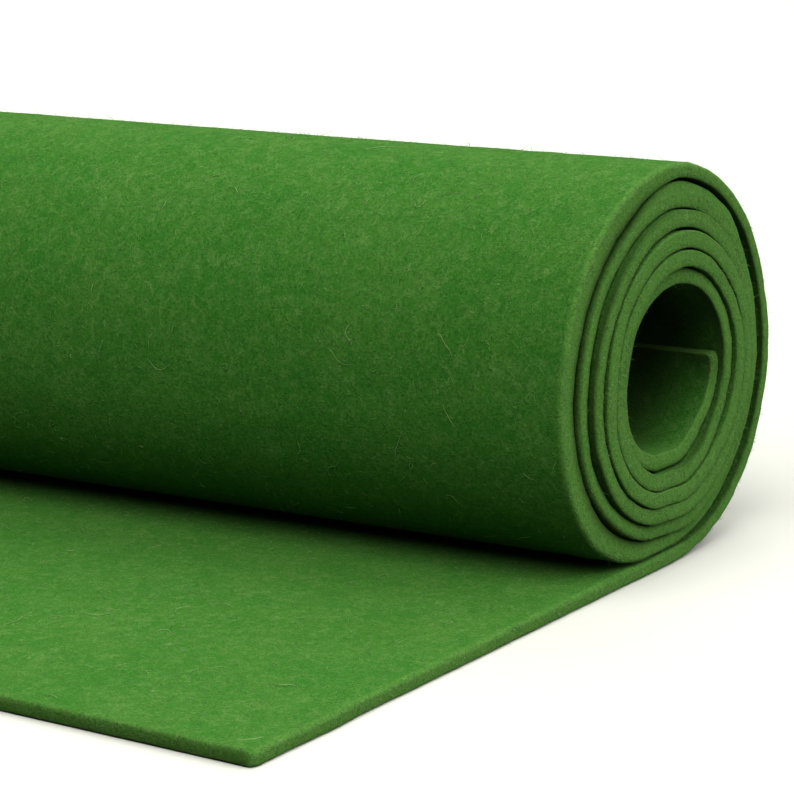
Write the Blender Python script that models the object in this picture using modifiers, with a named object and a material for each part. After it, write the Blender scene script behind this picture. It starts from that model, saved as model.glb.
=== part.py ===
"""A roll of thick pressed wool felt that lies on a flat surface, with its outer end unrolled in front of it.

Run it with: blender --background --python part.py
Lengths are in metres, +Z is up, and the surface is at z = 0. The roll's axis runs along X, its loose end
lies flat towards -Y, and the origin is under the middle of the whole piece.

The felt is one strip of even thickness. It is made flat, as an open grid with its rows across the strip,
each row is carried to its place on the wound section, and a Solidify modifier gives the strip its thickness.
The strip starts at the cut edge of the loose end, runs under the roll, and winds up the back, over the top
and down the front, turn inside turn, to its inner cut edge beside the open core.
"""
import math

import bpy
import numpy as np

MM = 0.001

FELT_THICKNESS = 3.0 * MM
FELT_WIDTH = 300.0 * MM
LOOSE_END_REACH = 147.0 * MM
LOOSE_END_SKEW = math.radians(3.0)
CENTRE_HEIGHT = 41.2 * MM
TURNS = 6.25

STATIONS_PER_TURN = 32
LOOSE_END_STATIONS = 5
WIDTH_STATIONS = 5

# The outermost turn's outer face: angle from the lowest line up the back (degrees), radius (mm).
OUTER_TURN = (
    (0, 41.4),
    (15, 41.5),
    (30, 42.0),
    (45, 42.6),
    (60, 42.9),
    (75, 42.6),
    (90, 42.2),
    (120, 42.3),
    (150, 42.3),
    (180, 42.2),
    (210, 41.8),
    (240, 42.0),
    (255, 42.3),
    (270, 42.7),
    (285, 43.5),
    (300, 43.8),
    (315, 43.2),
    (330, 41.5),
    (345, 39.4),
    (360, 37.9),
)

# The clear space between a turn and the next one inside it (mm), for each eighth of a turn: from under the core,
# up behind it, over it and down in front of it.
TURN_GAPS = (
    (0.45, 2.20, 1.90, 2.70, 3.10, 3.60, 2.60, 3.10),
    (0.45, 0.60, 0.50, 1.20, 0.60, 0.50, 1.20, 0.50),
    (0.40, 0.60, 0.50, 0.80, 1.30, 0.80, 1.10, 0.70),
    (0.40, 0.70, 0.65, 0.70, 0.90, 0.70, 1.10, 0.60),
    (0.40, 0.80, 0.70, 0.45, 0.90, 0.90, 1.10, 1.40),
    (1.10, 0.60, 1.15, 1.00, 1.00, 1.00, 1.00, 1.00),
)
GAPS_PER_TURN = 8

# How far each turn stands out endwise past the outermost one: turns from the loose end, shift (mm).
END_CREEP = (
    (0.0, 0.0),
    (1.25, 0.0),
    (1.5, 0.2),
    (1.75, 0.5),
    (2.25, 1.4),
    (2.75, 2.0),
    (3.75, 2.3),
    (4.25, 2.5),
    (4.75, 2.3),
    (5.25, 1.6),
    (5.75, 0.2),
    (6.25, 0.4),
)

# The roll sways sideways and sags a little away from its near end, but keeps still where it rests.
SWAY = 0.6 * MM
SWAY_HALF_WAVES = 1.5
SAG = 0.9 * MM
SAG_HALF_WAVES = 0.8
STILL_BELOW = 4.0 * MM
FULLY_FREE_AT = 30.0 * MM

HALF_TURN = 0.5
STEEPEST_COSINE = 0.1
SHARP_EDGE_ANGLE = math.radians(40)


def smooth_through(table_x, table_y, x):
    """A smooth curve through the table's points, read at x: cubic pieces with central slopes."""
    table_x = np.asarray(table_x, float)
    table_y = np.asarray(table_y, float)
    slope = np.gradient(table_y, table_x)
    index = np.clip(np.searchsorted(table_x, x, side="right") - 1, 0, len(table_x) - 2)
    span = table_x[index + 1] - table_x[index]
    t = (x - table_x[index]) / span
    start = (1 + 2 * t) * (1 - t) ** 2 * table_y[index] + t * (1 - t) ** 2 * span * slope[index]
    end = t ** 2 * (3 - 2 * t) * table_y[index + 1] - t ** 2 * (1 - t) * span * slope[index + 1]
    return start + end


def turn_gap(turns):
    """The space between the strip at this many turns from the loose end and the turn inside it."""
    gaps = np.array(TURN_GAPS).ravel() * MM
    return smooth_through(np.arange(len(gaps)) / GAPS_PER_TURN, gaps, turns)


def wound_radii(turns):
    """Radius of the strip's outer face at each station: the outermost turn, then each turn inside the last."""
    angles, radii = np.array(OUTER_TURN).T
    count = STATIONS_PER_TURN
    first = turns[:count + 1]
    radius = np.empty(len(turns))
    radius[:count + 1] = smooth_through(angles, radii * MM, first * 360)

    upright = np.maximum(np.cos(2 * math.pi * first), STEEPEST_COSINE)
    on_surface = CENTRE_HEIGHT / upright
    on_loose_end = (CENTRE_HEIGHT - FELT_THICKNESS - turn_gap(0.0)) / upright
    flat_limit = np.where(first < HALF_TURN, on_surface, on_loose_end)
    radius[:count + 1] = np.minimum(radius[:count + 1], flat_limit)

    for station in range(count, len(turns)):
        outside = station - count
        radius[station] = radius[outside] - FELT_THICKNESS - turn_gap(turns[outside])
    return radius


def strip_section():
    """Places of the strip's middle surface across its thickness: turns wound, y and z of each station."""
    turns = np.arange(int(TURNS * STATIONS_PER_TURN) + 1) / STATIONS_PER_TURN
    middle = wound_radii(turns) - FELT_THICKNESS / 2
    angle = 2 * math.pi * turns
    wound_y = middle * np.sin(angle)
    wound_z = CENTRE_HEIGHT - middle * np.cos(angle)
    loose_y = np.linspace(-LOOSE_END_REACH, 0, LOOSE_END_STATIONS, endpoint=False)
    loose_z = np.full(LOOSE_END_STATIONS, FELT_THICKNESS / 2)
    section_turns = np.concatenate([np.zeros(LOOSE_END_STATIONS), turns])
    return section_turns, np.concatenate([loose_y, wound_y]), np.concatenate([loose_z, wound_z])


def rolled(along, across):
    """World place of each point of the flat strip, from its station along it and its share across it."""
    section_turns, section_y, section_z = strip_section()
    turns = section_turns[along]
    y = section_y[along]
    z = section_z[along]
    creep_turns, creep = np.array(END_CREEP).T
    x = (across - 0.5) * FELT_WIDTH + smooth_through(creep_turns, creep * MM, turns)

    from_near_end = 1 - across
    on_loose_end = along < LOOSE_END_STATIONS
    skew = from_near_end * FELT_WIDTH * math.tan(LOOSE_END_SKEW)
    y = np.where(on_loose_end, y * (1 - skew / LOOSE_END_REACH), y)

    free = np.clip((z - STILL_BELOW) / (FULLY_FREE_AT - STILL_BELOW), 0, 1)
    y = y + SWAY * free * np.sin(SWAY_HALF_WAVES * math.pi * from_near_end)
    z = z - SAG * free * np.sin(SAG_HALF_WAVES * math.pi * from_near_end)
    return np.stack([x, y, z], axis=1)


def make_felt_material():
    """Bright green pressed wool: matt and a little uneven, with no gloss."""
    material = bpy.data.materials.new("green_wool_felt")
    material.use_nodes = True
    shader = material.node_tree.nodes["Principled BSDF"]
    shader.inputs["Base Color"].default_value = (0.085, 0.29, 0.047, 1.0)
    shader.inputs["Roughness"].default_value = 0.95
    shader.inputs["Metallic"].default_value = 0.0
    return material


def make_felt_strip(collection):
    """The whole felt: a flat grid carried onto the wound section and thickened."""
    stations = LOOSE_END_STATIONS + int(TURNS * STATIONS_PER_TURN) + 1
    bpy.ops.mesh.primitive_grid_add(x_subdivisions=WIDTH_STATIONS - 1, y_subdivisions=stations - 1, size=1.0)
    felt = bpy.context.object
    felt.name = "felt_strip"
    felt.data.name = "felt_strip"
    for holder in list(felt.users_collection):
        holder.objects.unlink(felt)
    collection.objects.link(felt)

    flat = np.empty(len(felt.data.vertices) * 3)
    felt.data.vertices.foreach_get("co", flat)
    flat = flat.reshape(-1, 3) + 0.5
    along = np.rint(flat[:, 1] * (stations - 1)).astype(int)
    place = rolled(along, flat[:, 0])
    half = FELT_THICKNESS / 2
    lowest = place.min(axis=0) - half * np.array([0, 0, 1])
    highest = place.max(axis=0) + half * np.array([0, 1, 1])
    place -= np.array([(lowest[0] + highest[0]) / 2, (lowest[1] + highest[1]) / 2, lowest[2]])
    felt.data.vertices.foreach_set("co", place.ravel())
    felt.data.update()

    thicken = felt.modifiers.new("felt thickness", "SOLIDIFY")
    thicken.thickness = FELT_THICKNESS
    thicken.offset = 0.0
    thicken.use_even_offset = True
    felt.data.shade_smooth()
    felt.data.set_sharp_from_angle(angle=SHARP_EDGE_ANGLE)
    felt.data.materials.append(make_felt_material())
    return felt


def main():
    """Clear the scene and build the roll in a collection of its own."""
    for old in list(bpy.data.objects):
        bpy.data.objects.remove(old)
    collection = bpy.data.collections.new("felt_roll")
    bpy.context.scene.collection.children.link(collection)
    make_felt_strip(collection)


main()
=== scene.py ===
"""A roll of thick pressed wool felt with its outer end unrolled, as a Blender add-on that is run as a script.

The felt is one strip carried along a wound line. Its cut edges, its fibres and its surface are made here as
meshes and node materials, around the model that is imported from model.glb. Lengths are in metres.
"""
import math

import bpy
import numpy as np
from bpy.props import FloatProperty, FloatVectorProperty, IntProperty, PointerProperty
from mathutils import Matrix, Vector


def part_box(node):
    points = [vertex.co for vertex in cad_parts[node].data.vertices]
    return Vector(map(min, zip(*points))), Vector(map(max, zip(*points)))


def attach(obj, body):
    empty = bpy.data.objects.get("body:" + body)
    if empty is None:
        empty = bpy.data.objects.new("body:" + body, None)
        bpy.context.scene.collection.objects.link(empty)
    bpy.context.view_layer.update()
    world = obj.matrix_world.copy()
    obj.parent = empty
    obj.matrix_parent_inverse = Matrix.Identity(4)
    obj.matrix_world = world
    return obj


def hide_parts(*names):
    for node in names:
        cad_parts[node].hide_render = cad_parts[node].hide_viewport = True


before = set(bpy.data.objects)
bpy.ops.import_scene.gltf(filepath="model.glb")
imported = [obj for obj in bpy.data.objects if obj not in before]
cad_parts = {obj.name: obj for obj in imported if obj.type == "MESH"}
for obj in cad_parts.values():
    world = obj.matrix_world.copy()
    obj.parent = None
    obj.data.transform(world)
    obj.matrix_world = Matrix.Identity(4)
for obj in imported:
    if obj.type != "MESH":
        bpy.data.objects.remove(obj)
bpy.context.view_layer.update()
CAD_LOW, CAD_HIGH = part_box("felt_strip")

bl_info = {
    "name": "Wool Felt Roll",
    "version": (1, 0, 0),
    "blender": (4, 5, 0),
    "location": "View3D > Sidebar > Felt Roll",
    "description": "Builds a roll of pressed wool felt with a loose outer end, its fibres and a pale studio",
    "category": "Add Mesh",
}

MM = 0.001

# The roll sways sideways and sags a little away from its near end, but keeps still where it rests.
SWAY_HALF_WAVES = 1.5
SAG_HALF_WAVES = 0.8
STILL_BELOW = 4.0 * MM
FULLY_FREE_AT = 30.0 * MM

# The swelling of a cut edge and the painted shade on its borders reach this far in from it, and its cut
# colour this far.
SWELL_REACH = 7.0 * MM
BORDER_REACH = 4.0 * MM
CUT_COLOUR_REACH = 1.4 * MM

# The painted shade in the core deepens over this depth, from the innermost turns on, and at the strip's inner
# tip over this length.
CORE_DARKENS_OVER = 14.0 * MM
CORE_STARTS_AT_TURNS = 5.2
TIP_DARKENS_OVER = 10.0 * MM

# Shares of the loose fibres that lie on the outermost turn and on the loose end. The rest line the core.
SHARE_ON_OUTSIDE = 0.58
SHARE_ON_LOOSE_END = 0.34
CORE_FELT_LENGTH = 110.0 * MM
# Share of the cut fibres that bristle from the loose end's front edge.
SHARE_ON_FRONT_EDGE = 0.14

# Half the floor's side, its drop below the felt, and the share of its light that it gives back.
FLOOR_HALF_SIDE = 4.0
FLOOR_DROP = 0.2 * MM
FLOOR_BOUNCE = 0.3

# The outermost turn's outer face: angle from the lowest line up the back (degrees), radius (mm).
OUTER_TURN = (
    (0, 41.4),
    (15, 41.5),
    (30, 42.0),
    (45, 42.6),
    (60, 42.9),
    (75, 42.6),
    (90, 42.2),
    (120, 42.3),
    (150, 42.3),
    (180, 42.2),
    (210, 41.8),
    (240, 42.0),
    (255, 42.3),
    (270, 42.7),
    (285, 43.5),
    (300, 43.8),
    (315, 43.2),
    (330, 41.5),
    (345, 39.4),
    (360, 37.9),
)

# The clear space between a turn and the next one inside it (mm), for each eighth of a turn: from under the
# core, up behind it, over it and down in front of it.
TURN_GAPS = (
    (0.45, 2.20, 1.90, 2.70, 3.10, 3.60, 2.60, 3.10),
    (0.45, 0.60, 0.50, 1.20, 0.60, 0.50, 1.20, 0.50),
    (0.40, 0.60, 0.50, 0.80, 1.30, 0.80, 1.10, 0.70),
    (0.40, 0.70, 0.65, 0.70, 0.90, 0.70, 1.10, 0.60),
    (0.40, 0.80, 0.70, 0.45, 0.90, 0.90, 1.10, 1.40),
    (1.10, 0.60, 1.15, 1.00, 1.00, 1.00, 1.00, 1.00),
)
GAPS_PER_TURN = 8

# How far each turn stands out endwise past the outermost one: turns from the loose end, shift (mm).
END_CREEP = (
    (0.0, 0.0),
    (1.25, 0.0),
    (1.5, 0.2),
    (1.75, 0.5),
    (2.25, 1.4),
    (2.75, 2.0),
    (3.75, 2.3),
    (4.25, 2.5),
    (4.75, 2.3),
    (5.25, 1.6),
    (5.75, 0.2),
    (6.25, 0.4),
)

# How much of the clear space beside a turn the felt fills where it fluffs out at its cut edges: turns from
# the loose end, share of the space outside it, and share of the space inside it.
EDGE_SWELL = (
    (0.00, 0.00, 0.00),
    (0.48, 0.00, 0.05),
    (0.57, 0.00, 0.68),
    (0.72, 0.00, 0.70),
    (0.80, 0.00, 0.86),
    (0.94, 0.00, 0.86),
    (1.00, 0.00, 0.30),
    (1.33, 0.00, 0.30),
    (1.38, 0.75, 0.30),
    (1.50, 0.75, 0.30),
    (1.57, 0.05, 0.30),
    (2.00, 0.05, 0.30),
    (2.10, 0.30, 0.30),
    (5.25, 0.30, 0.30),
    (5.35, 0.30, 0.00),
    (6.25, 0.30, 0.00),
)

# How dark the cut edge's borders are where a turn next to it keeps the light out: turns from the loose end,
# share on the outer border, and share on the inner border.
EDGE_SHADE = (
    (0.00, 0.00, 0.00),
    (0.05, 0.00, 0.50),
    (0.50, 0.00, 0.50),
    (0.56, 0.00, 1.00),
    (0.93, 0.00, 1.00),
    (1.00, 0.40, 0.40),
    (1.36, 0.40, 0.40),
    (1.50, 0.50, 0.50),
    (1.56, 1.00, 0.90),
    (1.90, 0.90, 0.90),
    (2.00, 0.30, 0.30),
    (2.40, 0.40, 0.30),
    (2.60, 0.80, 0.50),
    (2.85, 0.80, 0.50),
    (3.00, 0.20, 0.20),
    (4.90, 0.30, 0.30),
    (5.10, 0.50, 0.70),
    (6.25, 0.70, 0.00),
)


def linear(code):
    """The linear colour of an sRGB hex code such as #4c8a31."""
    shares = [int(code[i:i + 2], 16) / 255 for i in (1, 3, 5)]
    return tuple(c / 12.92 if c <= 0.04045 else ((c + 0.055) / 1.055) ** 2.4 for c in shares)


def length_setting(label, words, value):
    """A length in metres that a user can change."""
    return FloatProperty(name=label, description=words, default=value, unit="LENGTH", precision=4)


def colour_setting(label, words, code):
    """A colour that a user can change."""
    return FloatVectorProperty(
        name=label, description=words, default=linear(code), subtype="COLOR", size=3, min=0, max=1
    )


class FeltRollSizes(bpy.types.PropertyGroup):
    """Sizes of the felt strip and of the way it is wound."""

    thickness: length_setting("Felt thickness", "Thickness of the pressed felt", 3.0 * MM)
    width: length_setting("Felt width", "Cut width, along the roll's axis", 300.0 * MM)
    reach: length_setting("Loose end", "From the roll's lowest line to the cut edge", 147.0 * MM)
    skew: FloatProperty(
        name="Edge skew", description="How far the end's cut is out of square", default=math.radians(3.0),
        unit="ROTATION",
    )
    centre: length_setting("Centre height", "Height of the roll's centre", 41.2 * MM)
    turns: FloatProperty(name="Turns", description="Turns in the roll", default=6.25, min=1, max=6.25)
    worn_round: length_setting("Worn edges", "Rounding of the edges that lie outermost", 0.9 * MM)
    cut_round: length_setting("Cut edges", "Rounding of the other cut edges", 0.28 * MM)
    sway: length_setting("Sway", "Sideways bend along the roll", 0.6 * MM)
    sag: length_setting("Sag", "Drop away from the near end", 0.9 * MM)


class FeltRollColours(bpy.types.PropertyGroup):
    """Colours of the wool and of the studio."""

    wool: colour_setting("Wool", "Main green of the dyed wool", "#487333")
    deep: colour_setting("Deep wool", "Green of the denser, darker clumps", "#356c29")
    pale: colour_setting("Pale wool", "Olive green of the lighter clumps", "#6a8751")
    cut: colour_setting("Cut wool", "Olive green of the cut edges", "#54733d")
    loose: colour_setting("Loose fibres", "Green of the short fibres on the faces", "#5e8441")
    cut_fibre: colour_setting("Cut fibres", "Green of the short fibres on the cut edges", "#5d7f40")
    bloom: colour_setting("Bloom", "Tint of the soft sheen that fuzz gives the wool", "#a5cf7a")
    shade: colour_setting("Shaded wool", "Brown green of the wool that light hardly reaches", "#1f2a10")
    stray: colour_setting("Stray fibres", "Colour of the loose fibres on the surface", "#8aa46c")
    floor: colour_setting("Floor", "Pale studio floor", "#c1c1ba")
    backdrop: colour_setting("Backdrop", "Warm white behind the floor", "#fbfbf6")


class FeltRollFibres(bpy.types.PropertyGroup):
    """How many fibres stand out of the felt."""

    face_fuzz: IntProperty(name="Face fuzz", description="Short fibres on the faces", default=13000, min=0)
    edge_fuzz: IntProperty(name="Edge fuzz", description="Short fibres on cut edges", default=19000, min=0)
    strays: IntProperty(name="Stray fibres", description="Long loose fibres on the faces", default=380, min=0)


def smooth_through(table_x, table_y, x):
    """A smooth curve through the table's points, read at x: cubic pieces with central slopes."""
    table_x = np.asarray(table_x, float)
    table_y = np.asarray(table_y, float)
    slope = np.gradient(table_y, table_x)
    index = np.clip(np.searchsorted(table_x, x, side="right") - 1, 0, len(table_x) - 2)
    span = table_x[index + 1] - table_x[index]
    t = (x - table_x[index]) / span
    start = (1 + 2 * t) * (1 - t) ** 2 * table_y[index] + t * (1 - t) ** 2 * span * slope[index]
    end = t ** 2 * (3 - 2 * t) * table_y[index + 1] - t ** 2 * (1 - t) * span * slope[index + 1]
    return start + end


def turn_gap(turns):
    """The space between the strip at this many turns from the loose end and the turn inside it."""
    gaps = np.array(TURN_GAPS).ravel() * MM
    return smooth_through(np.arange(len(gaps)) / GAPS_PER_TURN, gaps, turns)


def wound_radii(sizes, turns, per_turn):
    """Radius of the strip's outer face: the outermost turn's table, kept above the surface and the loose end
    as r <= h / cos(angle), and each further turn = the turn outside it - thickness - gap."""
    angles, radii = np.array(OUTER_TURN).T
    first = turns[:per_turn + 1]
    upright = np.cos(2 * math.pi * first)
    floor_height = np.where(first < 0.5, 0.0, sizes.thickness + turn_gap(0.0))
    lying = upright > 0.5
    flat_limit = np.where(lying, (sizes.centre - floor_height) / np.where(lying, upright, 1.0), np.inf)
    radius = np.empty(len(turns))
    radius[:per_turn + 1] = np.minimum(smooth_through(angles, radii * MM, first * 360), flat_limit)
    for station in range(per_turn, len(turns)):
        outside = station - per_turn
        radius[station] = radius[outside] - sizes.thickness - turn_gap(turns[outside])
    return radius


def near_end_x():
    """Where the outermost turn's near end lies, behind the turns that stand out furthest."""
    return CAD_HIGH[0] - max(creep for _, creep in END_CREEP) * MM


class StripLine:
    """The line that the strip's middle follows in the y-z plane, from the loose end's cut to the inner cut.

    s is the distance along it; turns is how many turns are wound at s; out_y and out_z give the direction
    across the felt's thickness that points to the roll's outside, which is down under the loose end."""

    PER_TURN = 240
    STEP = 0.5 * MM
    HEADING_REACH = 1.5 * MM

    def __init__(self, sizes):
        turns = np.arange(int(round(sizes.turns * self.PER_TURN)) + 1) / self.PER_TURN
        middle = wound_radii(sizes, turns, self.PER_TURN) - sizes.thickness / 2
        angle = 2 * math.pi * turns
        loose_y = np.arange(-sizes.reach, -self.STEP / 2, self.STEP)
        y = np.concatenate([loose_y, middle * np.sin(angle)])
        loose_z = np.full(len(loose_y), sizes.thickness / 2)
        z = np.concatenate([loose_z, sizes.centre - middle * np.cos(angle)])
        turns = np.concatenate([np.zeros(len(loose_y)), turns])
        s = np.concatenate([[0], np.cumsum(np.hypot(np.diff(y), np.diff(z)))])
        self.length = s[-1]
        self.s, self.y, self.z, self.turns = s, y, z, turns
        self.sizes = sizes
        creep_turns, creep = np.array(END_CREEP).T
        self.creep_turns, self.creep = creep_turns, creep * MM

    def at(self, s):
        """y, z, turns, and the outward direction at each distance s along the line, kept within its ends."""
        s = np.clip(s, 0, self.length)
        y = np.interp(s, self.s, self.y)
        z = np.interp(s, self.s, self.z)
        turns = np.interp(s, self.s, self.turns)
        ahead = np.clip(s + self.HEADING_REACH, 0, self.length)
        behind = np.clip(s - self.HEADING_REACH, 0, self.length)
        dy = np.interp(ahead, self.s, self.y) - np.interp(behind, self.s, self.y)
        dz = np.interp(ahead, self.s, self.z) - np.interp(behind, self.s, self.z)
        size = np.hypot(dy, dz)
        return y, z, turns, dz / size, -dy / size

    def place(self, s, across, lift):
        """World points of the strip: distance s along it, across it from its middle, and lift out of its
        middle towards the roll's outside. The loose end is skewed and the roll sways and sags, as in the
        solid."""
        sizes = self.sizes
        y, z, turns, out_y, out_z = self.at(s)
        from_near_end = 0.5 - across / sizes.width
        skew = from_near_end * sizes.width * math.tan(sizes.skew) / sizes.reach
        y = np.where(s < sizes.reach, y * (1 - skew), y)
        y = y + lift * out_y
        z = z + lift * out_z
        free = np.clip((z - STILL_BELOW) / (FULLY_FREE_AT - STILL_BELOW), 0, 1)
        y = y + sizes.sway * free * np.sin(SWAY_HALF_WAVES * math.pi * from_near_end)
        z = z - sizes.sag * free * np.sin(SAG_HALF_WAVES * math.pi * from_near_end)
        x = across + smooth_through(self.creep_turns, self.creep, turns)
        return np.stack([x, y, z], axis=-1) + self.offset()

    def offset(self):
        """From the strip's own frame, where the roll's lowest line is y = 0, to the frame of the solid."""
        return np.array([near_end_x() - self.sizes.width / 2, CAD_LOW[1] + self.sizes.reach, 0.0])


def waves(u, v, wavelength, seed, count=14):
    """A soft random field from -1 to 1: the mean of cosines of about this wavelength in random directions."""
    rng = np.random.default_rng(seed)
    direction = rng.uniform(0, 2 * math.pi, count)
    pitch = 2 * math.pi / (wavelength * rng.uniform(0.7, 1.5, count))
    phase = rng.uniform(0, 2 * math.pi, count)
    total = np.zeros(np.broadcast(u, v).shape)
    for d, p, f in zip(direction, pitch, phase):
        total += np.cos(p * (u * math.cos(d) + v * math.sin(d)) + f)
    return total * math.sqrt(2 / count) / 2


def mesh_piece(name, points, faces, material, smooth=True):
    """A new object at the origin from world points and a list of faces."""
    mesh = bpy.data.meshes.new(name)
    mesh.from_pydata(points, [], faces)
    mesh.validate()
    if smooth:
        mesh.shade_smooth()
    mesh.materials.append(material)
    piece = bpy.data.objects.new(name, mesh)
    bpy.context.scene.collection.objects.link(piece)
    return piece


def edge_spaced(length, fine, fine_count, coarse):
    """Places from 0 to length that start fine at both ends and grow to about the coarse step."""
    steps = fine * np.geomspace(1, coarse / fine, fine_count)
    head = np.concatenate([[0], np.cumsum(steps)])
    body_count = max(2, int(round((length - 2 * head[-1]) / coarse)))
    body = np.linspace(head[-1], length - head[-1], body_count + 1)[1:-1]
    return np.concatenate([head, body, (length - head)[::-1]])


def section_loop(columns, corner_steps, edge_steps):
    """The strip's cross-section as one closed loop of shares, whose corners can be rounded by any radius r:
    across = wide * half width - wide_cut * r and lift = high * half thickness - high_cut * r."""
    angle = np.linspace(0, math.pi / 2, corner_steps + 1)
    edge = np.linspace(0, 1, edge_steps + 1)[:-1]
    flat = np.sin(math.pi / 2 * np.linspace(-1, 1, columns + 2))[1:-1]
    corner = np.ones(corner_steps + 1)
    near_wide = np.concatenate([np.ones(edge_steps), corner])
    near_wide_cut = np.concatenate([np.zeros(edge_steps), 1 - np.cos(angle)])
    near_high = np.concatenate([edge, corner])
    near_high_cut = np.concatenate([edge, 1 - np.sin(angle)])
    wide = np.concatenate([-near_wide, flat, near_wide[::-1]])
    wide_cut = np.concatenate([-near_wide_cut, flat, near_wide_cut[::-1]])
    high = np.concatenate([near_high, np.ones(columns), near_high[::-1]])
    high_cut = np.concatenate([near_high_cut, np.zeros(columns), near_high_cut[::-1]])
    back = slice(-2, 0, -1)
    return (
        np.concatenate([wide, wide[back]]), np.concatenate([wide_cut, wide_cut[back]]),
        np.concatenate([high, -high[back]]), np.concatenate([high_cut, -high_cut[back]]),
    )


def edge_rounding(sizes, turns, along, outward):
    """Radius of the cut edges' corners: worn on the loose end's upper side and on the two outermost turns."""
    on_loose_end = np.clip((sizes.reach + 10 * MM - along) / (20 * MM), 0, 1)
    on_outer_turn = np.clip((2.0 - turns) / 0.2, 0, 1) * (1 - on_loose_end)
    worn = np.where(outward, on_outer_turn, on_loose_end)
    return sizes.cut_round + (sizes.worn_round - sizes.cut_round) * worn


def edge_swell(sizes, turns, across, outward):
    """How far the felt fluffs out beside its cut edges, into the clear space next to it: share * gap, falling
    off as a smooth step away from the edge."""
    near_cut = np.clip(1 - (sizes.width / 2 - np.abs(across)) / SWELL_REACH, 0, 1)
    near_cut = near_cut ** 2 * (3 - 2 * near_cut)
    table_turns, outer_share, inner_share = np.array(EDGE_SWELL).T
    last_gap = sizes.turns - 1
    outer = np.interp(turns, table_turns, outer_share) * turn_gap(np.clip(turns - 1, 0, last_gap))
    inner = np.interp(turns, table_turns, inner_share) * turn_gap(np.clip(turns, 0, last_gap))
    return np.where(outward, outer, inner) * near_cut


def wool_shade(sizes, line, along, across, turns, lift):
    """How dark the wool is painted, from 0 to 1, where little light reaches it: along the borders of the cut
    edges, into the core, and at the strip's inner tip."""
    height = 2 * lift / sizes.thickness
    depth = sizes.width / 2 - np.abs(across)
    table_turns, outer, inner = np.array(EDGE_SHADE).T
    share = np.where(height > 0, np.interp(turns, table_turns, outer), np.interp(turns, table_turns, inner))
    border = np.clip((np.abs(height) - 0.3) / 0.7, 0, 1) ** 1.4 * np.clip(1 - depth / BORDER_REACH, 0, 1)
    in_core = np.clip((turns - CORE_STARTS_AT_TURNS) / 0.1, 0, 1) * (height < -0.5)
    core = in_core * np.clip(depth / CORE_DARKENS_OVER, 0, 1)
    tip = np.clip(1 - (line.length - along) / TIP_DARKENS_OVER, 0, 1)
    return np.maximum(np.maximum(share * border, 0.85 * core), 0.6 * tip)


def felt_relief(s, across, side):
    """How far the felt's face stands in or out of its even thickness: soft lumps of 9 mm and 3.5 mm."""
    broad = waves(s, across, 9 * MM, 11 + side)
    small = waves(s, across, 3.5 * MM, 23 + side)
    return (0.07 * broad + 0.04 * small) * MM


def edge_wander(s, end):
    """How far the cut edge wanders from a straight line: 25 mm and 4 mm waves."""
    return (0.22 * waves(s, 0.0, 25 * MM, 41 + end) + 0.10 * waves(s, 0.0, 4 * MM, 43 + end)) * MM


def strip_faces(rows, loop):
    """Faces of a strip of closed cross-sections: quads from each section to the next, and at each end a cap
    of quads with a triangle at its two narrow sides. All face outward."""
    row = np.arange(rows - 1)[:, None] * loop
    here = np.arange(loop)[None, :]
    after = (here + 1) % loop
    quads = np.stack([row + here, row + after, row + loop + after, row + loop + here], axis=-1).reshape(-1, 4)
    last = (rows - 1) * loop
    upper = np.arange(1, loop // 2)
    lower = loop - upper
    first_cap = np.stack([upper[1:], upper[:-1], lower[:-1], lower[1:]], axis=-1)
    last_cap = last + first_cap[:, ::-1]
    tip = loop // 2
    faces = np.concatenate([quads, first_cap, last_cap]).tolist()
    faces.append([1, 0, loop - 1])
    faces.append([last, last + 1, last + loop - 1])
    faces.append([tip, tip - 1, tip + 1])
    faces.append([last + tip, last + tip + 1, last + tip - 1])
    return faces


def make_strip(sizes, line, material):
    """The felt strip: its cross-section carried along the wound line, both ends rounded over and closed."""
    s = edge_spaced(line.length, 0.12 * MM, 7, 2.4 * MM)
    wide, wide_cut, high, high_cut = section_loop(56, 3, 5)
    loop = len(wide)
    half_width, half_thick = sizes.width / 2, sizes.thickness / 2

    along = np.repeat(s[:, None], loop, axis=1)
    turns = np.interp(along, line.s, line.turns)
    from_end = np.minimum(along, line.length - along)
    outward = high[None, :] > 0
    rounding = edge_rounding(sizes, turns, along, outward)
    end_in = 1 - np.clip(from_end / rounding, 0, 1)
    lift = high * half_thick - high_cut * rounding
    lift = lift * (1 - rounding / half_thick * (1 - np.sqrt(1 - end_in ** 2)))

    bulge = 0.15 * MM * (1 - (lift / half_thick) ** 2) * (np.abs(wide) == 1) * np.sign(wide)
    to_corner = np.clip(1 - from_end / (2.2 * MM), 0, 1)
    inset = 1.3 * MM * (1 - np.sqrt(1 - to_corner ** 2))
    across = (wide * half_width - wide_cut * rounding) * (1 - inset / half_width) + bulge
    nearness = np.clip((np.abs(wide) - 0.9) / 0.1, 0, 1)
    wander = np.where(wide > 0, edge_wander(along, 0), edge_wander(along, 1))
    across = across + wander * nearness

    fullness = np.abs(lift) / half_thick
    relief = np.where(outward, felt_relief(along, across, 0), felt_relief(along, across, 1)) * fullness
    on_table = (along < sizes.reach + 6 * MM) & outward
    relief = np.where(on_table, -np.abs(relief), relief)
    relief = relief + edge_swell(sizes, turns, across, outward) * fullness
    points = line.place(along, across, lift + np.sign(lift) * relief)
    points[..., 2] = np.maximum(points[..., 2], CAD_LOW[2])

    sheet = mesh_piece("felt_sheet", points.reshape(-1, 3), strip_faces(len(s), loop), material)
    cut = np.clip(1 - (half_width - np.abs(across)) / CUT_COLOUR_REACH, 0, 1)
    cut = np.maximum(cut, np.clip(1 - from_end / CUT_COLOUR_REACH, 0, 1))
    shade = wool_shade(sizes, line, along, across, turns, lift)
    for name, values in (("cut_edge", cut), ("shade", shade)):
        attribute = sheet.data.attributes.new(name, "FLOAT", "POINT")
        attribute.data.foreach_set("value", values.ravel().astype(np.float32))
    return sheet


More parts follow.
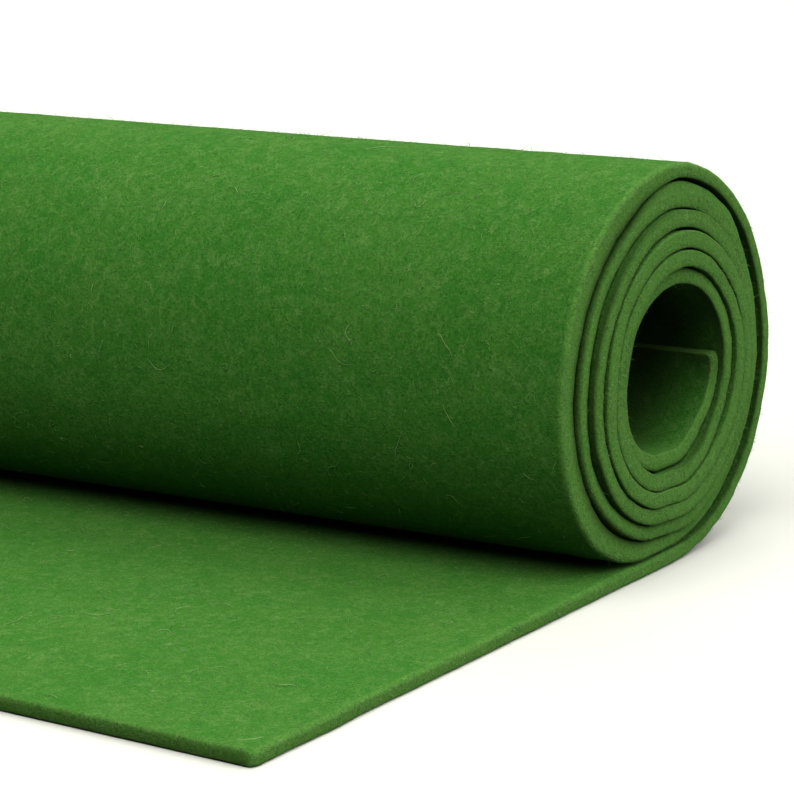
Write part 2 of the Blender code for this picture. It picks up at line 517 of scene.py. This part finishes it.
def above_table(points):
    """The same points, with those below the surface the felt lies on pressed up against it: the depth below
    it becomes a height of a fiftieth of it."""
    points = points.copy()
    depth = CAD_LOW[2] - points[:, 2]
    points[:, 2] = np.where(depth > 0, CAD_LOW[2] + 0.02 * depth, points[:, 2])
    return points


def spikes(name, roots, mids, tips, radii, material):
    """Thin bent fibres: each is a closed three-sided needle through its root, its middle and its tip."""
    lengthwise = tips - roots
    helper = np.where(np.abs(lengthwise[:, :1]) < np.abs(lengthwise[:, 2:]), [[1.0, 0, 0]], [[0, 0, 1.0]])
    side = np.cross(lengthwise, helper)
    side /= np.linalg.norm(side, axis=1, keepdims=True)
    up = np.cross(lengthwise, side)
    up /= np.linalg.norm(up, axis=1, keepdims=True)
    ring = []
    for centre, share in ((roots, 1.0), (mids, 0.8)):
        for corner in range(3):
            turn = 2 * math.pi * corner / 3
            ring.append(centre + (side * math.cos(turn) + up * math.sin(turn)) * radii[:, None] * share)
    ring.append(tips)
    points = np.stack(ring, axis=1).reshape(-1, 3)
    pattern = [[2, 1, 0], [0, 1, 4, 3], [1, 2, 5, 4], [2, 0, 3, 5], [3, 4, 6], [4, 5, 6], [5, 3, 6]]
    faces = []
    for corners in pattern:
        faces.extend((np.arange(len(roots))[:, None] * 7 + np.array(corners)).tolist())
    return mesh_piece(name, above_table(points), faces, material)


def strands(name, paths, radii, material):
    """Long curled fibres: a closed three-sided tube along each path of points, thinning to its two ends."""
    count, steps = paths.shape[:2]
    direction = np.gradient(paths, axis=1)
    direction /= np.linalg.norm(direction, axis=2, keepdims=True)
    helper = np.array([0.36, 0.48, 0.80])
    side = np.cross(direction, helper)
    side /= np.linalg.norm(side, axis=2, keepdims=True)
    up = np.cross(direction, side)
    taper = np.sqrt(np.sin(np.linspace(0.12, math.pi - 0.12, steps)))[None, :, None]
    wide = radii[:, None, None] * taper
    corners = []
    for corner in range(3):
        turn = 2 * math.pi * corner / 3
        corners.append(paths + (side * math.cos(turn) + up * math.sin(turn)) * wide)
    points = np.stack(corners, axis=2).reshape(-1, 3)
    step = np.arange(steps - 1)[:, None] * 3
    here = np.arange(3)[None, :]
    after = (here + 1) % 3
    tube = np.stack([step + here, step + after, step + 3 + after, step + 3 + here], axis=-1).reshape(-1, 4)
    starts = np.arange(count)[:, None, None] * steps * 3
    faces = (starts + tube[None]).reshape(-1, 4).tolist()
    first = np.arange(count)[:, None] * steps * 3
    faces += (first + np.array([2, 1, 0])).tolist()
    faces += (first + (steps - 1) * 3 + np.array([0, 1, 2])).tolist()
    return mesh_piece(name, above_table(points), faces, material)


def add_node(tree, kind, links=None, **settings):
    """Adds a node. A setting that names an input sets it; links maps an input to a socket of another node."""
    node = tree.nodes.new(kind)
    for key, value in settings.items():
        if hasattr(node, key):
            setattr(node, key, value)
        else:
            node.inputs[key.replace("_", " ")].default_value = value
    for key, socket in (links or {}).items():
        tree.links.new(socket, node.inputs[key])
    return node


def colour_mix(tree, share, first, second):
    """Mixes two colours by a share that a pattern gives; each colour is a socket or a linear colour."""
    node = tree.nodes.new("ShaderNodeMix")
    node.data_type = "RGBA"
    tree.links.new(share, node.inputs[0])
    for index, colour in ((6, first), (7, second)):
        if isinstance(colour, bpy.types.NodeSocket):
            tree.links.new(colour, node.inputs[index])
        else:
            node.inputs[index].default_value = (*colour, 1)
    return node.outputs[2]


def pattern_share(tree, pattern, low, high, most):
    """A share that rises from 0 to most where a pattern rises from low to high."""
    node = add_node(tree, "ShaderNodeMapRange", {"Value": pattern})
    node.inputs["From Min"].default_value = low
    node.inputs["From Max"].default_value = high
    node.inputs["To Max"].default_value = most
    return node.outputs[0]


def scaled(tree, pattern, factor):
    """A pattern times a factor."""
    node = add_node(tree, "ShaderNodeMath", {0: pattern}, operation="MULTIPLY")
    node.inputs[1].default_value = factor
    return node.outputs[0]


def curl_lines(tree, coordinates, curl_size, line_share, shift):
    """Thin curly lines, as of fibres that wind through the felt, where a soft noise is at its middle."""
    moved = add_node(tree, "ShaderNodeVectorMath", {0: coordinates}, operation="ADD")
    moved.inputs[1].default_value = (shift, 0.7 * shift, -0.4 * shift)
    noise = add_node(
        tree, "ShaderNodeTexNoise", {"Vector": moved.outputs[0]}, Scale=1 / curl_size, Detail=1.5,
        Roughness=0.45, Distortion=0.8,
    )
    centred = add_node(tree, "ShaderNodeMath", {0: noise.outputs[0]}, operation="SUBTRACT")
    centred.inputs[1].default_value = 0.5
    size = add_node(tree, "ShaderNodeMath", {0: centred.outputs[0]}, operation="ABSOLUTE")
    line = add_node(tree, "ShaderNodeMapRange", {"Value": size.outputs[0]})
    line.interpolation_type = "SMOOTHSTEP"
    line.inputs["From Min"].default_value = 0.0
    line.inputs["From Max"].default_value = line_share
    line.inputs["To Min"].default_value = 1.0
    line.inputs["To Max"].default_value = 0.0
    return line.outputs[0]


def make_felt_material(colours):
    """Pressed and dyed wool felt: matt, with patches and clumps of darker and lighter wool a few millimetres
    wide, a fine grain, faint curly fibres, olive cut edges, a soft fuzzy bloom, and wool painted darker by
    the shade attribute where little light reaches it."""
    material = bpy.data.materials.new("pressed_wool_felt")
    material.use_nodes = True
    tree = material.node_tree
    shader = tree.nodes["Principled BSDF"]
    coordinates = add_node(tree, "ShaderNodeTexCoord").outputs["Object"]

    clouds = add_node(tree, "ShaderNodeTexNoise", {"Vector": coordinates}, Scale=1 / (18 * MM), Detail=2.0)
    patches = add_node(
        tree, "ShaderNodeTexNoise", {"Vector": coordinates}, Scale=1 / (5.5 * MM), Detail=2.0, Roughness=0.55,
        Distortion=1.0,
    )
    clumps = add_node(
        tree, "ShaderNodeTexNoise", {"Vector": coordinates}, Scale=1 / (2.2 * MM), Detail=3.0, Roughness=0.6,
        Distortion=0.8,
    )
    grain = add_node(
        tree, "ShaderNodeTexNoise", {"Vector": coordinates}, Scale=1 / (0.6 * MM), Detail=2.0, Roughness=0.7
    )
    fine_curls = curl_lines(tree, coordinates, 1.3 * MM, 0.035, 0.31)
    wide_curls = curl_lines(tree, coordinates, 2.3 * MM, 0.018, 0.83)
    dark_curls = curl_lines(tree, coordinates, 1.7 * MM, 0.030, 1.27)
    cut_edge = add_node(tree, "ShaderNodeAttribute", attribute_name="cut_edge").outputs["Fac"]
    shade = add_node(tree, "ShaderNodeAttribute", attribute_name="shade").outputs["Fac"]

    wool, deep, pale = tuple(colours.wool), tuple(colours.deep), tuple(colours.pale)
    dark = tuple(c * 0.5 for c in colours.deep)
    base = colour_mix(tree, pattern_share(tree, clouds.outputs[0], 0.30, 0.70, 0.60), wool, deep)
    base = colour_mix(tree, pattern_share(tree, patches.outputs[0], 0.48, 0.66, 0.55), base, deep)
    base = colour_mix(tree, pattern_share(tree, clumps.outputs[0], 0.46, 0.70, 0.42), base, pale)
    base = colour_mix(tree, scaled(tree, cut_edge, 0.75), base, tuple(colours.cut))
    base = colour_mix(tree, pattern_share(tree, grain.outputs[0], 0.46, 0.70, 0.55), base, dark)
    base = colour_mix(tree, scaled(tree, dark_curls, 0.16), base, dark)
    base = colour_mix(tree, scaled(tree, fine_curls, 0.24), base, pale)
    base = colour_mix(tree, scaled(tree, wide_curls, 0.16), base, tuple(colours.stray))
    base = colour_mix(tree, scaled(tree, shade, 0.80), base, tuple(colours.shade))
    tree.links.new(base, shader.inputs["Base Color"])

    raised_grain = scaled(tree, grain.outputs[0], 0.9)
    height = add_node(tree, "ShaderNodeMath", {0: raised_grain, 1: scaled(tree, fine_curls, 0.5)})
    height = add_node(tree, "ShaderNodeMath", {0: height.outputs[0], 1: scaled(tree, wide_curls, 0.4)})
    bump = add_node(tree, "ShaderNodeBump", {"Height": height.outputs[0]}, Strength=0.65, Distance=0.22 * MM)
    tree.links.new(bump.outputs[0], shader.inputs["Normal"])
    shader.inputs["Roughness"].default_value = 0.95
    shader.inputs["Specular IOR Level"].default_value = 0.12
    shader.inputs["Sheen Weight"].default_value = 0.1
    shader.inputs["Sheen Roughness"].default_value = 0.55
    shader.inputs["Sheen Tint"].default_value = (*colours.bloom, 1)
    return material


def make_fibre_material(name, colour, sheen):
    """Single wool fibres: thin, slightly glossy and paler than the felt, because light passes round them."""
    material = bpy.data.materials.new(name)
    material.use_nodes = True
    tree = material.node_tree
    shader = tree.nodes["Principled BSDF"]
    coordinates = add_node(tree, "ShaderNodeTexCoord").outputs["Object"]
    shade = add_node(tree, "ShaderNodeTexNoise", {"Vector": coordinates}, Scale=1 / (2.5 * MM), Detail=1.0)
    darker = tuple(c * 0.6 for c in colour)
    tree.links.new(colour_mix(tree, shade.outputs[0], colour, darker), shader.inputs["Base Color"])
    shader.inputs["Roughness"].default_value = 0.6
    shader.inputs["Specular IOR Level"].default_value = 0.3
    shader.inputs["Sheen Weight"].default_value = sheen
    return material


def settings():
    """The three groups of settings on the scene."""
    scene = bpy.context.scene
    return scene.felt_roll_sizes, scene.felt_roll_colours, scene.felt_roll_fibres


def finish_piece(piece):
    """The piece moves with the roll's one body."""
    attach(piece, "root")


class FELT_ROLL_OT_add_sheet(bpy.types.Operator):
    """Add the wound felt strip"""

    bl_idname = "felt_roll.add_sheet"
    bl_label = "Felt Sheet"

    def execute(self, context):
        sizes, colours, _ = settings()
        line = StripLine(sizes)
        sheet = make_strip(sizes, line, make_felt_material(colours))
        finish_piece(sheet)
        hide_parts("felt_strip")
        return {"FINISHED"}


def face_places(sizes, line, rng, count):
    """Random places on the faces that show: the outermost turn, the loose end's upper side, and the core."""
    lap = float(np.interp(1.0, line.turns, line.s))
    outside = rng.uniform(sizes.reach * 0.98, lap + 12 * MM, int(count * SHARE_ON_OUTSIDE))
    loose = rng.uniform(0.5 * MM, sizes.reach * 0.85, int(count * SHARE_ON_LOOSE_END))
    core = rng.uniform(line.length - CORE_FELT_LENGTH, line.length, count - len(outside) - len(loose))
    s = np.concatenate([outside, loose, core])
    side = np.concatenate([np.ones(len(outside)), -np.ones(len(loose) + len(core))])
    across = rng.uniform(-0.5, 0.5, count) * (sizes.width - 1.0 * MM)
    return s, across, side


class FELT_ROLL_OT_add_face_fuzz(bpy.types.Operator):
    """Add the short fibres that stand out of the felt's faces"""

    bl_idname = "felt_roll.add_face_fuzz"
    bl_label = "Face Fuzz"

    def execute(self, context):
        sizes, colours, fibres = settings()
        line = StripLine(sizes)
        rng = np.random.default_rng(5)
        count = fibres.face_fuzz
        s, across, side = face_places(sizes, line, rng, count)
        heading = rng.uniform(0, 2 * math.pi, count)
        length = rng.gamma(3.0, 0.45, count) * MM
        rise = rng.uniform(0.15, 0.55, count) * length
        half = sizes.thickness / 2
        step_s, step_x = np.cos(heading) * length, np.sin(heading) * length
        bend = rng.normal(0, 0.25, count) * length
        roots = line.place(s, across, side * (half - 0.1 * MM))
        mid_s = s + 0.5 * step_s - bend * np.sin(heading)
        mid_x = across + 0.5 * step_x + bend * np.cos(heading)
        mids = line.place(mid_s, mid_x, side * (half + 0.75 * rise))
        tips = line.place(s + step_s, across + step_x, side * (half + rise))
        radii = rng.uniform(0.022, 0.042, count) * MM
        material = make_fibre_material("loose_wool_fibre", tuple(colours.loose), 0.3)
        finish_piece(spikes("face_fuzz", roots, mids, tips, radii, material))
        return {"FINISHED"}


class FELT_ROLL_OT_add_edge_fuzz(bpy.types.Operator):
    """Add the cut fibres that bristle from the felt's edges"""

    bl_idname = "felt_roll.add_edge_fuzz"
    bl_label = "Edge Fuzz"

    def execute(self, context):
        sizes, colours, fibres = settings()
        line = StripLine(sizes)
        rng = np.random.default_rng(7)
        count = fibres.edge_fuzz
        front = int(count * SHARE_ON_FRONT_EDGE)
        sides = count - front
        half = sizes.thickness / 2
        s = np.concatenate([rng.uniform(0, line.length, sides), np.zeros(front) + 0.3 * MM])
        end = np.where(rng.uniform(0, 1, sides) < 0.5, -1.0, 1.0)
        end_across = end * (sizes.width / 2 - 0.2 * MM)
        front_across = rng.uniform(-0.5, 0.5, front) * sizes.width
        across = np.concatenate([end_across, front_across])
        height = rng.uniform(-0.92, 0.92, count) * half
        length = rng.gamma(3.0, 0.28, count) * MM
        out = rng.uniform(0.15, 1.0, count)
        around = rng.uniform(0, 2 * math.pi, count)
        flat = np.sqrt(1 - out ** 2)
        along_step = np.concatenate([flat[:sides] * np.cos(around[:sides]), -out[sides:]]) * length
        across_step = np.concatenate([end * out[:sides], flat[sides:] * np.cos(around[sides:])]) * length
        lift_step = flat * np.sin(around) * length * 0.7
        roots = line.place(s, across, height)
        mids = line.place(s + 0.5 * along_step, across + 0.58 * across_step, height + 0.4 * lift_step)
        tips = line.place(s + along_step, across + across_step, height + lift_step)
        overrun = np.minimum(s + along_step, 0)
        tips[:, 1] += overrun
        radii = rng.uniform(0.022, 0.045, count) * MM
        material = make_fibre_material("cut_wool_fibre", tuple(colours.cut_fibre), 0.3)
        finish_piece(spikes("edge_fuzz", roots, mids, tips, radii, material))
        return {"FINISHED"}


class FELT_ROLL_OT_add_strays(bpy.types.Operator):
    """Add the long pale fibres that lie loose on the felt"""

    bl_idname = "felt_roll.add_strays"
    bl_label = "Stray Fibres"

    def execute(self, context):
        sizes, colours, fibres = settings()
        line = StripLine(sizes)
        rng = np.random.default_rng(9)
        count = fibres.strays
        s, across, side = face_places(sizes, line, rng, count)
        steps = 9
        length = np.clip(rng.gamma(2.2, 1.7, count), 1.2, 9.0) * MM
        heading = rng.uniform(0, 2 * math.pi, count)
        curl = rng.normal(0, 1.1, count)
        kink = rng.normal(0, 1.0, (count, 1))
        t = np.linspace(0, 1, steps)[None, :]
        bearing = heading[:, None] + curl[:, None] * t + kink * np.sin(2 * math.pi * t)
        move = length[:, None] / (steps - 1)
        path_s = s[:, None] + np.cumsum(np.cos(bearing), axis=1) * move
        path_x = across[:, None] + np.cumsum(np.sin(bearing), axis=1) * move
        limit = sizes.width / 2 + 0.4 * MM
        path_x = np.clip(path_x, -limit, limit)
        path_s = np.clip(path_s, 0, line.length)
        arch = rng.uniform(0.05, 0.45, count)[:, None] * MM * np.sin(math.pi * t)
        lift = side[:, None] * (sizes.thickness / 2 - 0.04 * MM + arch)
        paths = line.place(path_s, path_x, lift)
        radii = rng.uniform(0.035, 0.070, count) * MM
        material = make_fibre_material("stray_wool_fibre", tuple(colours.stray), 0.2)
        finish_piece(strands("stray_fibres", paths, radii, material))
        return {"FINISHED"}


class FELT_ROLL_OT_declare_sheet(bpy.types.Operator):
    """Work out the strip's wound line again, and do nothing more with it"""

    bl_idname = "felt_roll.declare_sheet"
    bl_label = "Declare Sheet"

    def execute(self, context):
        sizes, _, _ = settings()
        line = StripLine(sizes)
        return {"FINISHED"}


class FELT_ROLL_OT_add_stage(bpy.types.Operator):
    """Add the pale floor, the soft studio light and the camera"""

    bl_idname = "felt_roll.add_stage"
    bl_label = "Stage"

    AZIMUTH = 34.33
    ELEVATION = 13.24
    ROLL = -1.66
    DISTANCE = 0.7749
    LENS = 162.4
    TARGET_FROM_NEAR_END = (-0.0697, 0.0028, 0.0272)

    def execute(self, context):
        sizes, colours, _ = settings()
        self.add_floor(colours)
        self.add_light(colours)
        self.add_camera(sizes)
        return {"FINISHED"}

    def add_floor(self, colours):
        """A flat square that gives back less light than it shows, to keep the felt's shade deep."""
        half = FLOOR_HALF_SIDE
        points = np.array([[-half, -half, 0], [half, -half, 0], [half, half, 0], [-half, half, 0]])
        material = bpy.data.materials.new("pale_studio_paper")
        material.use_nodes = True
        tree = material.node_tree
        shader = tree.nodes["Principled BSDF"]
        shader.inputs["Roughness"].default_value = 0.9
        shader.inputs["Specular IOR Level"].default_value = 0.1
        seen = add_node(tree, "ShaderNodeLightPath").outputs["Is Camera Ray"]
        bounced = tuple(c * FLOOR_BOUNCE for c in colours.floor)
        tree.links.new(colour_mix(tree, seen, bounced, tuple(colours.floor)), shader.inputs["Base Color"])
        lowered = points - [0, 0, FLOOR_DROP]
        floor = mesh_piece("studio_floor", lowered, [[0, 1, 2, 3]], material, smooth=False)

    def add_light(self, colours):
        """Three broad suns, behind, before and at the near end, and a dim world that the camera sees pale."""
        for name, azimuth, elevation, spread, strength in (
            ("back_light", 180.0, 55.0, 60.0, 1.45),
            ("front_light", 8.0, 57.0, 56.0, 2.36),
            ("end_light", 93.0, 30.0, 60.0, 2.68),
        ):
            light = bpy.data.lights.new(name, "SUN")
            light.energy = strength
            light.angle = math.radians(spread)
            lamp = bpy.data.objects.new(name, light)
            a, e = math.radians(azimuth), math.radians(elevation)
            towards = Vector((math.sin(a) * math.cos(e), -math.cos(a) * math.cos(e), math.sin(e)))
            lamp.rotation_mode = "QUATERNION"
            lamp.rotation_quaternion = towards.to_track_quat("Z", "Y")
            bpy.context.scene.collection.objects.link(lamp)

        world = bpy.data.worlds.new("pale_studio")
        world.use_nodes = True
        tree = world.node_tree
        output = tree.nodes["World Output"]
        dim = tree.nodes["Background"]
        dim.inputs["Color"].default_value = (*colours.backdrop, 1)
        dim.inputs["Strength"].default_value = 0.027
        pale = add_node(tree, "ShaderNodeBackground", Strength=1.0)
        pale.inputs["Color"].default_value = (*colours.backdrop, 1)
        seen = add_node(tree, "ShaderNodeLightPath").outputs["Is Camera Ray"]
        both = add_node(tree, "ShaderNodeMixShader", {0: seen, 1: dim.outputs[0], 2: pale.outputs[0]})
        tree.links.new(both.outputs[0], output.inputs["Surface"])
        bpy.context.scene.world = world
        bpy.context.scene.view_settings.view_transform = "Standard"
        bpy.context.scene.view_settings.look = "High Contrast"

    def add_camera(self, sizes):
        """The camera of the photograph, placed from the near end of the roll's lowest line."""
        lowest_y = CAD_LOW[1] + sizes.reach
        target = Vector((near_end_x(), lowest_y, 0)) + Vector(self.TARGET_FROM_NEAR_END)
        a, e = math.radians(self.AZIMUTH), math.radians(self.ELEVATION)
        back = Vector((math.sin(a) * math.cos(e), -math.cos(a) * math.cos(e), math.sin(e)))
        right = Vector((math.cos(a), math.sin(a), 0))
        up = back.cross(right)
        turned = Matrix((right, up, back)).transposed() @ Matrix.Rotation(math.radians(self.ROLL), 3, "Z")
        data = bpy.data.cameras.new("photo_camera")
        data.sensor_width = 36.0
        data.lens = self.LENS
        data.clip_start = 0.01
        data.clip_end = 50.0
        camera = bpy.data.objects.new("photo_camera", data)
        camera.matrix_world = Matrix.Translation(target + back * self.DISTANCE) @ turned.to_4x4()
        bpy.context.scene.collection.objects.link(camera)
        bpy.context.scene.camera = camera


class FELT_ROLL_PT_panel(bpy.types.Panel):
    """The felt roll's settings and its building steps"""

    bl_label = "Felt Roll"
    bl_idname = "FELT_ROLL_PT_panel"
    bl_space_type = "VIEW_3D"
    bl_region_type = "UI"
    bl_category = "Felt Roll"

    def draw(self, context):
        for group in settings():
            box = self.layout.box()
            for name in group.__annotations__:
                box.prop(group, name)
        for step in STEPS:
            self.layout.operator(step.bl_idname)


GROUPS = (
    ("felt_roll_sizes", FeltRollSizes),
    ("felt_roll_colours", FeltRollColours),
    ("felt_roll_fibres", FeltRollFibres),
)
STEPS = (
    FELT_ROLL_OT_add_stage,
    FELT_ROLL_OT_add_sheet,
    FELT_ROLL_OT_add_face_fuzz,
    FELT_ROLL_OT_add_edge_fuzz,
    FELT_ROLL_OT_add_strays,
    FELT_ROLL_OT_declare_sheet,
)


def register():
    """Register the settings, the steps and the panel."""
    for name, group in GROUPS:
        bpy.utils.register_class(group)
        setattr(bpy.types.Scene, name, PointerProperty(type=group))
    for step in STEPS:
        bpy.utils.register_class(step)
    bpy.utils.register_class(FELT_ROLL_PT_panel)


def unregister():
    """Take the panel, the steps and the settings away again."""
    bpy.utils.unregister_class(FELT_ROLL_PT_panel)
    for step in reversed(STEPS):
        bpy.utils.unregister_class(step)
    for name, group in reversed(GROUPS):
        delattr(bpy.types.Scene, name)
        bpy.utils.unregister_class(group)


def main():
    """Build the stage and the felt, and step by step."""
    register()
    bpy.ops.felt_roll.add_stage()
    bpy.ops.felt_roll.add_sheet()
    bpy.ops.felt_roll.add_face_fuzz()
    bpy.ops.felt_roll.add_edge_fuzz()
    bpy.ops.felt_roll.add_strays()
    bpy.ops.felt_roll.declare_sheet()


if __name__ == "__main__":
    main()
